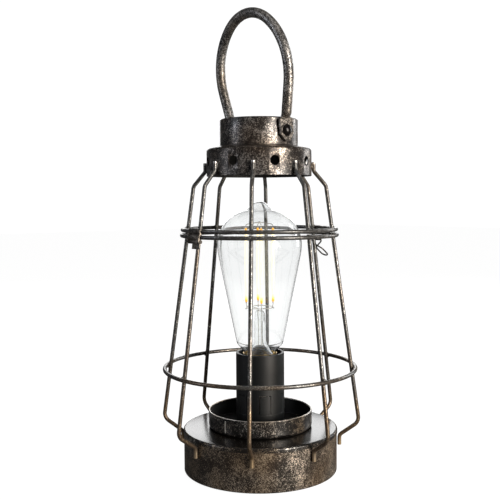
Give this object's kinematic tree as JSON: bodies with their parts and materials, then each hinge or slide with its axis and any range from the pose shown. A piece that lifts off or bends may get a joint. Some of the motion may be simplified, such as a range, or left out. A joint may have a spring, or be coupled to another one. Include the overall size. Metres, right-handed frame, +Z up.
{
  "type": "lantern_table_lamp",
  "caption": "Cordless lantern table lamp with a hinged wire cage, swinging carry handle and filament bulb on a round steel base",
  "frame": {"origin": "on the table, under the middle of the round base", "axes": "+Z up; the cage hinge is at -X, the latch at +X, the handle turns about Y"},
  "size_m": [0.1526, 0.1526, 0.3485],
  "materials": {
    "speckled_bronze": "baked antique bronze paint with fine light speckle, satin",
    "speckled_dark": "baked near-black paint with fine light speckle, semi-gloss",
    "wire_bronze": "antique bronze paint on drawn wire, satin",
    "handle_charcoal": "charcoal speckled paint, satin",
    "rivet_dark": "dark painted screw heads, satin",
    "hinge_steel": "painted sheet steel, satin",
    "latch_steel": "dull darkened steel wire",
    "zinc": "zinc plated steel",
    "nickel": "nickel plated spring steel",
    "rubber": "black foot pads",
    "tray_plastic": "black moulded plastic",
    "knob_plastic": "light grey moulded plastic",
    "cell_jacket": "plain blue cell jacket",
    "lead_jacket": "red plastic wire jacket",
    "holder_black": "black moulded lampholder, satin",
    "ceramic": "white glazed insulating core",
    "shell_brass": "rolled brass shell",
    "cap_brass": "brass bulb cap",
    "insulator_black": "black glass insulator",
    "bulb_glass": "clear blown glass",
    "filament_amber": "yellow phosphor filament sticks"
  },
  "bodies": {
    "lamp_base": {"base_drum": "speckled_bronze", "base_top": "speckled_dark", "base_lugs": "zinc", "base_screws": "zinc", "base_feet": "rubber", "battery_tray": "tray_plastic", "battery_cells": "cell_jacket", "battery_contacts": "nickel", "battery_springs": "nickel", "switch_body": "tray_plastic", "supply_leads": "lead_jacket", "gallery_dish": "speckled_dark", "threaded_nipple": "zinc", "nipple_nuts": "zinc", "holder_base": "holder_black", "holder_skirt": "holder_black", "holder_core": "ceramic", "holder_screw_shell": "shell_brass", "holder_contact": "shell_brass", "low_ring": "wire_bronze", "joint_ring": "wire_bronze", "hinge_lower_leaf": "hinge_steel", "hinge_pin": "zinc", "latch_bracket": "hinge_steel", "lower_wire_1": "wire_bronze", "lower_wire_2": "wire_bronze", "lower_wire_3": "wire_bronze", "lower_wire_4": "wire_bronze", "lower_wire_5": "wire_bronze", "lower_wire_6": "wire_bronze", "lower_wire_7": "wire_bronze", "lower_wire_8": "wire_bronze"},
    "cage_lid": {"lid_ring": "wire_bronze", "vent_collar": "speckled_bronze", "top_cap": "speckled_bronze", "hinge_upper_leaf": "hinge_steel", "latch_keeper": "hinge_steel", "pivot_screws": "rivet_dark", "pivot_nuts": "zinc", "pivot_washers": "hinge_steel", "lid_wire_1": "wire_bronze", "lid_wire_2": "wire_bronze", "lid_wire_3": "wire_bronze", "lid_wire_4": "wire_bronze", "lid_wire_5": "wire_bronze", "lid_wire_6": "wire_bronze", "lid_wire_7": "wire_bronze", "lid_wire_8": "wire_bronze"},
    "handle": {"carry_handle": "handle_charcoal"},
    "latch": {"latch_bail": "latch_steel"},
    "bulb": {"bulb_glass": "bulb_glass", "bulb_cap": "cap_brass", "bulb_tip": "insulator_black", "bulb_stem": "bulb_glass", "bulb_filaments": "filament_amber", "bulb_supports": "nickel"},
    "switch_knob": {"switch_knob": "knob_plastic"},
    "battery_door": {"battery_door": "tray_plastic"}
  },
  "joints": [
    {"name": "lid_hinge", "type": "hinge", "parent": "lamp_base", "child": "cage_lid", "pos_m": [-0.05973, 0, 0.17745], "axis": [0, -1, 0], "range_deg": [0, 110]},
    {"name": "handle_pivot", "type": "hinge", "parent": "cage_lid", "child": "handle", "pos_m": [0, 0, 0.25737], "axis": [0, 1, 0], "range_deg": [-104, 118]},
    {"name": "latch_pivot", "type": "hinge", "parent": "lamp_base", "child": "latch", "pos_m": [0.05916, 0, 0.17573], "axis": [0, -1, 0], "range_deg": [0, 135]},
    {"name": "bulb_turn", "type": "hinge", "parent": "lamp_base", "child": "bulb", "pos_m": [0, 0, 0.0934], "axis": [0, 0, 1], "range_deg": [0, 1080]},
    {"name": "switch_slide", "type": "slide", "parent": "lamp_base", "child": "switch_knob", "axis": [1, 0, 0], "range_m": [0, 0.004]},
    {"name": "battery_door_hinge", "type": "hinge", "parent": "lamp_base", "child": "battery_door", "pos_m": [-0.0284, -0.01, 0.0029], "axis": [0, 1, 0], "range_deg": [0, 90]}
  ]
}
